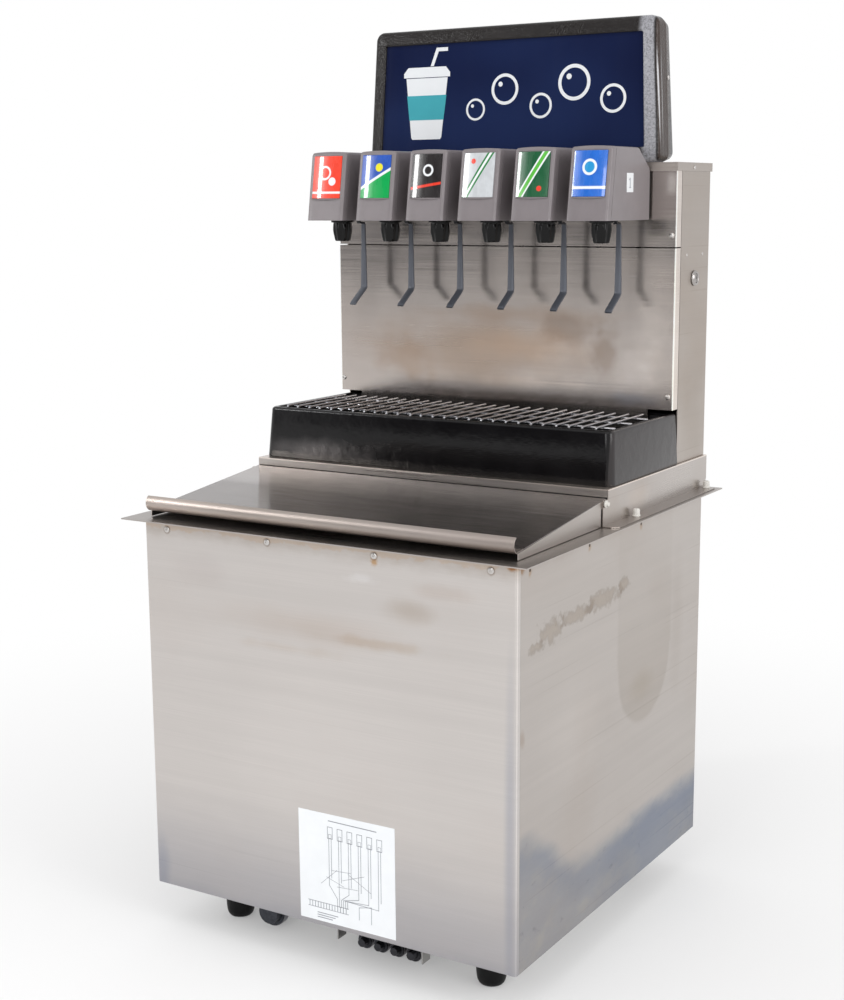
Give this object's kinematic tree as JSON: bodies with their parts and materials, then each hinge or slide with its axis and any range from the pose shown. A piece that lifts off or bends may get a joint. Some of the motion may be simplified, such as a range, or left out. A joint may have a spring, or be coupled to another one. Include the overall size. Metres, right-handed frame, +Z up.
{
  "type": "fountain soda dispenser",
  "caption": "Drop-in ice bin and soda dispenser: steel cabinet with a sloping lid, drip tray, splash tower, lever valves in a row, and a lit sign box.",
  "frame": {"origin": "centre of the bounding box at the floor, under the four feet", "axes": "+Z up, the front with the lid and the levers faces -Y, +X to the viewer's right from the front"},
  "size_m": [0.584, 0.582, 1.1865],
  "materials": {
    "stainless_sheet": "brushed, lightly worn",
    "chrome_wire": "bright chrome plate",
    "cast_aluminium": "as cast",
    "lever_steel": "dark satin plate",
    "black_gloss_plastic": "gloss black moulding",
    "black_plastic": "semi-gloss black moulding",
    "black_textured_plastic": "pebbled black moulding",
    "taupe_plastic": "satin taupe grey moulding",
    "window_acrylic": "clear lens over a printed label",
    "sign_acrylic": "gloss dark blue display panel",
    "black_rubber": "matt rubber",
    "white_nylon": "natural nylon",
    "cream_foam": "foamed in place",
    "white_lamp": "white tube"
  },
  "bodies": {
    "base": {"jacket_front_panel": "stainless_sheet", "jacket_wrap": "stainless_sheet", "base_pan": "stainless_sheet", "bin_liner": "stainless_sheet", "inlet_manifold": "stainless_sheet", "counter_flange": "stainless_sheet", "deck_collar": "stainless_sheet", "tower_shell": "stainless_sheet", "splash_panel_lower": "stainless_sheet", "splash_panel_upper": "stainless_sheet", "tower_cap": "stainless_sheet", "bin_insulation": "cream_foam", "cold_plate": "cast_aluminium", "drain_fitting": "black_plastic", "drip_tray": "black_gloss_plastic", "key_switch_body": "chrome_wire", "soda_lines": "black_plastic", "sign_bezel": "black_textured_plastic", "sign_housing": "black_textured_plastic", "sign_panel": "sign_acrylic", "sign_lamp": "white_lamp", "lid_hinge_pin_left": "white_nylon", "lid_hinge_pin_right": "white_nylon", "foot_front_left": "black_rubber", "foot_front_right": "black_rubber", "foot_rear_left": "black_rubber", "foot_rear_right": "black_rubber", "valve_1_block": "black_plastic", "valve_1_cover": "taupe_plastic", "valve_1_window": "window_acrylic", "valve_2_block": "black_plastic", "valve_2_cover": "taupe_plastic", "valve_2_window": "window_acrylic", "valve_3_block": "black_plastic", "valve_3_cover": "taupe_plastic", "valve_3_window": "window_acrylic", "valve_4_block": "black_plastic", "valve_4_cover": "taupe_plastic", "valve_4_window": "window_acrylic", "valve_5_block": "black_plastic", "valve_5_cover": "taupe_plastic", "valve_5_window": "window_acrylic", "valve_6_block": "black_plastic", "valve_6_cover": "taupe_plastic", "valve_6_window": "window_acrylic"},
    "lid": {"bin_lid": "stainless_sheet"},
    "cup_rest": {"cup_rest_grille": "chrome_wire"},
    "key_plug": {"key_barrel": "stainless_sheet"},
    "lever_1": {"valve_1_lever": "lever_steel"},
    "nozzle_1": {"valve_1_nozzle": "black_plastic"},
    "lever_2": {"valve_2_lever": "lever_steel"},
    "nozzle_2": {"valve_2_nozzle": "black_plastic"},
    "lever_3": {"valve_3_lever": "lever_steel"},
    "nozzle_3": {"valve_3_nozzle": "black_plastic"},
    "lever_4": {"valve_4_lever": "lever_steel"},
    "nozzle_4": {"valve_4_nozzle": "black_plastic"},
    "lever_5": {"valve_5_lever": "lever_steel"},
    "nozzle_5": {"valve_5_nozzle": "black_plastic"},
    "lever_6": {"valve_6_lever": "lever_steel"},
    "nozzle_6": {"valve_6_nozzle": "black_plastic"}
  },
  "joints": [
    {"name": "lid_hinge", "type": "hinge", "parent": "base", "child": "lid", "pos_m": [0, -0.04, 0.5825], "axis": [-1, 0, 0], "range_deg": [0, 104]},
    {"name": "cup_rest_lift", "type": "slide", "parent": "base", "child": "cup_rest", "axis": [0, -0.85, 0.5268], "range_m": [0, 0.27]},
    {"name": "key_turn", "type": "hinge", "parent": "base", "child": "key_plug", "pos_m": [0.26, 0.24, 0.845], "axis": [1, 0, 0], "range_deg": [0, 90]},
    {"name": "lever_1_push", "type": "hinge", "parent": "base", "child": "lever_1", "pos_m": [-0.199, 0.1255, 0.929], "axis": [1, 0, 0], "range_deg": [0, 12], "stiffness_Nm_per_rad": 0.6, "springref_deg": -4.98},
    {"name": "nozzle_1_twist", "type": "hinge", "parent": "base", "child": "nozzle_1", "pos_m": [-0.199, 0.085, 0.92], "axis": [0, 0, 1], "range_deg": [0, 45]},
    {"name": "lever_2_push", "type": "hinge", "parent": "base", "child": "lever_2", "pos_m": [-0.1194, 0.1255, 0.929], "axis": [1, 0, 0], "range_deg": [0, 12], "stiffness_Nm_per_rad": 0.6, "springref_deg": -4.98},
    {"name": "nozzle_2_twist", "type": "hinge", "parent": "base", "child": "nozzle_2", "pos_m": [-0.1194, 0.085, 0.92], "axis": [0, 0, 1], "range_deg": [0, 45]},
    {"name": "lever_3_push", "type": "hinge", "parent": "base", "child": "lever_3", "pos_m": [-0.0398, 0.1255, 0.929], "axis": [1, 0, 0], "range_deg": [0, 12], "stiffness_Nm_per_rad": 0.6, "springref_deg": -4.98},
    {"name": "nozzle_3_twist", "type": "hinge", "parent": "base", "child": "nozzle_3", "pos_m": [-0.0398, 0.085, 0.92], "axis": [0, 0, 1], "range_deg": [0, 45]},
    {"name": "lever_4_push", "type": "hinge", "parent": "base", "child": "lever_4", "pos_m": [0.0398, 0.1255, 0.929], "axis": [1, 0, 0], "range_deg": [0, 12], "stiffness_Nm_per_rad": 0.6, "springref_deg": -4.98},
    {"name": "nozzle_4_twist", "type": "hinge", "parent": "base", "child": "nozzle_4", "pos_m": [0.0398, 0.085, 0.92], "axis": [0, 0, 1], "range_deg": [0, 45]},
    {"name": "lever_5_push", "type": "hinge", "parent": "base", "child": "lever_5", "pos_m": [0.1194, 0.1255, 0.929], "axis": [1, 0, 0], "range_deg": [0, 12], "stiffness_Nm_per_rad": 0.6, "springref_deg": -4.98},
    {"name": "nozzle_5_twist", "type": "hinge", "parent": "base", "child": "nozzle_5", "pos_m": [0.1194, 0.085, 0.92], "axis": [0, 0, 1], "range_deg": [0, 45]},
    {"name": "lever_6_push", "type": "hinge", "parent": "base", "child": "lever_6", "pos_m": [0.199, 0.1255, 0.929], "axis": [1, 0, 0], "range_deg": [0, 12], "stiffness_Nm_per_rad": 0.6, "springref_deg": -4.98},
    {"name": "nozzle_6_twist", "type": "hinge", "parent": "base", "child": "nozzle_6", "pos_m": [0.199, 0.085, 0.92], "axis": [0, 0, 1], "range_deg": [0, 45]}
  ]
}
